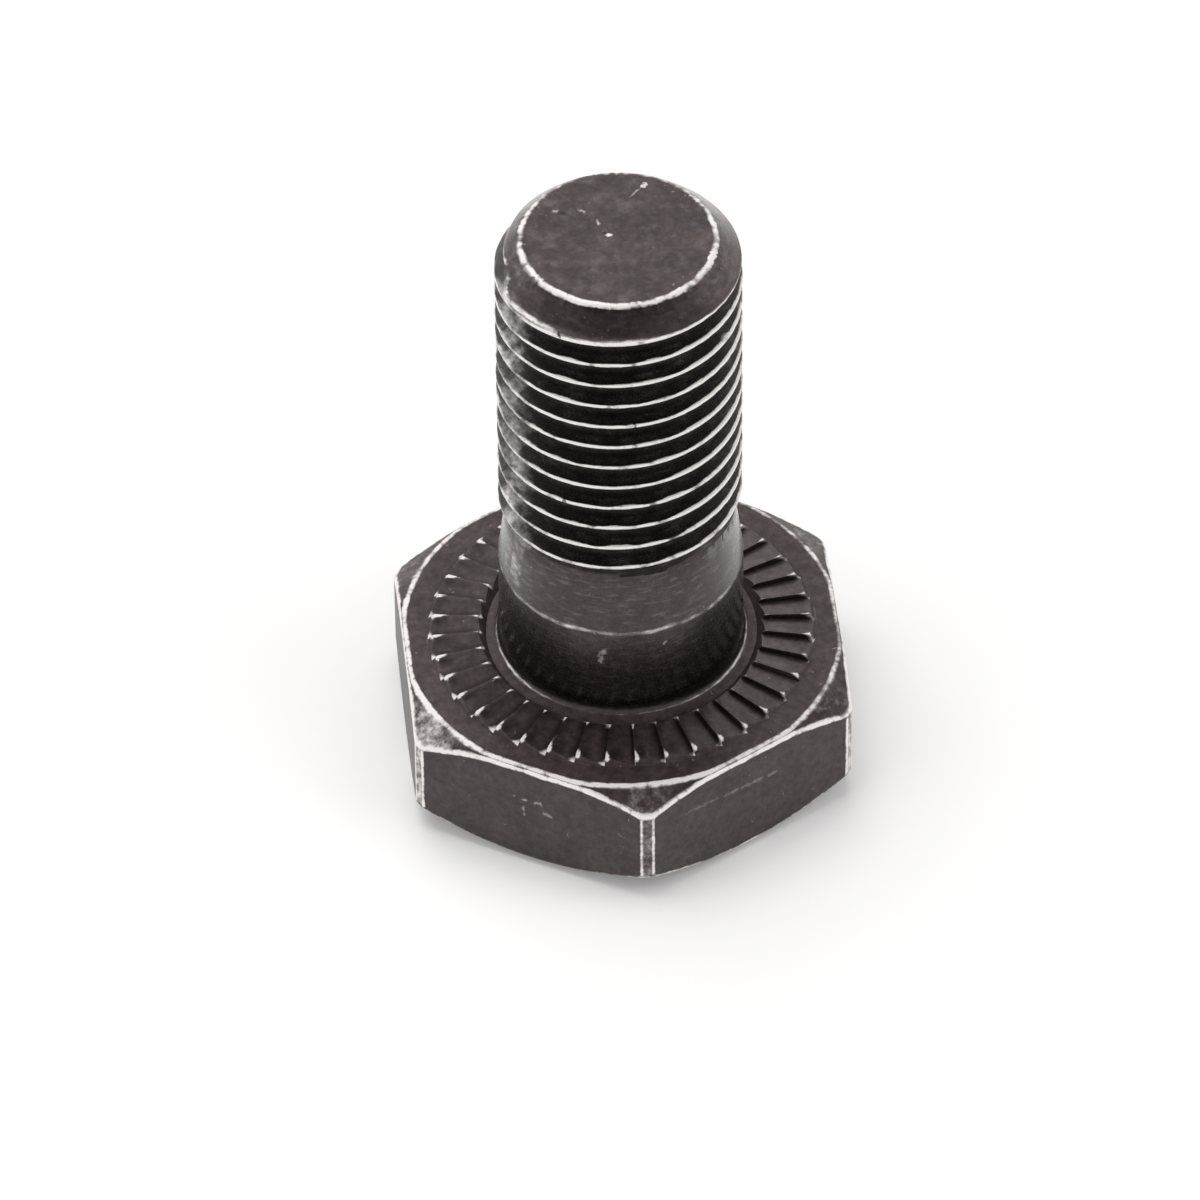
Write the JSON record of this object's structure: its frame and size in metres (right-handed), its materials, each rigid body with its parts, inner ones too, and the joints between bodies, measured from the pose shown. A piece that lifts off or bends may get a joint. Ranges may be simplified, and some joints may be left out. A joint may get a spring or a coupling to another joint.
{
  "type": "ring gear bolt",
  "caption": "Dark forged hex bolt, standing on its head, with ratchet teeth on the bearing face, a plain pilot body and a fine right-hand thread.",
  "frame": {"origin": "centre of the head's end face, which the bolt stands on", "axes": "+Z along the bolt's axis from the head to the tip; two of the six flats face +X and -X"},
  "size_m": [0.0172, 0.0196, 0.0257],
  "materials": {
    "black_oxide_steel": "matt black oxide, worn bright on the edges"
  },
  "bodies": {
    "root": {"bolt": "black_oxide_steel"}
  },
  "joints": []
}
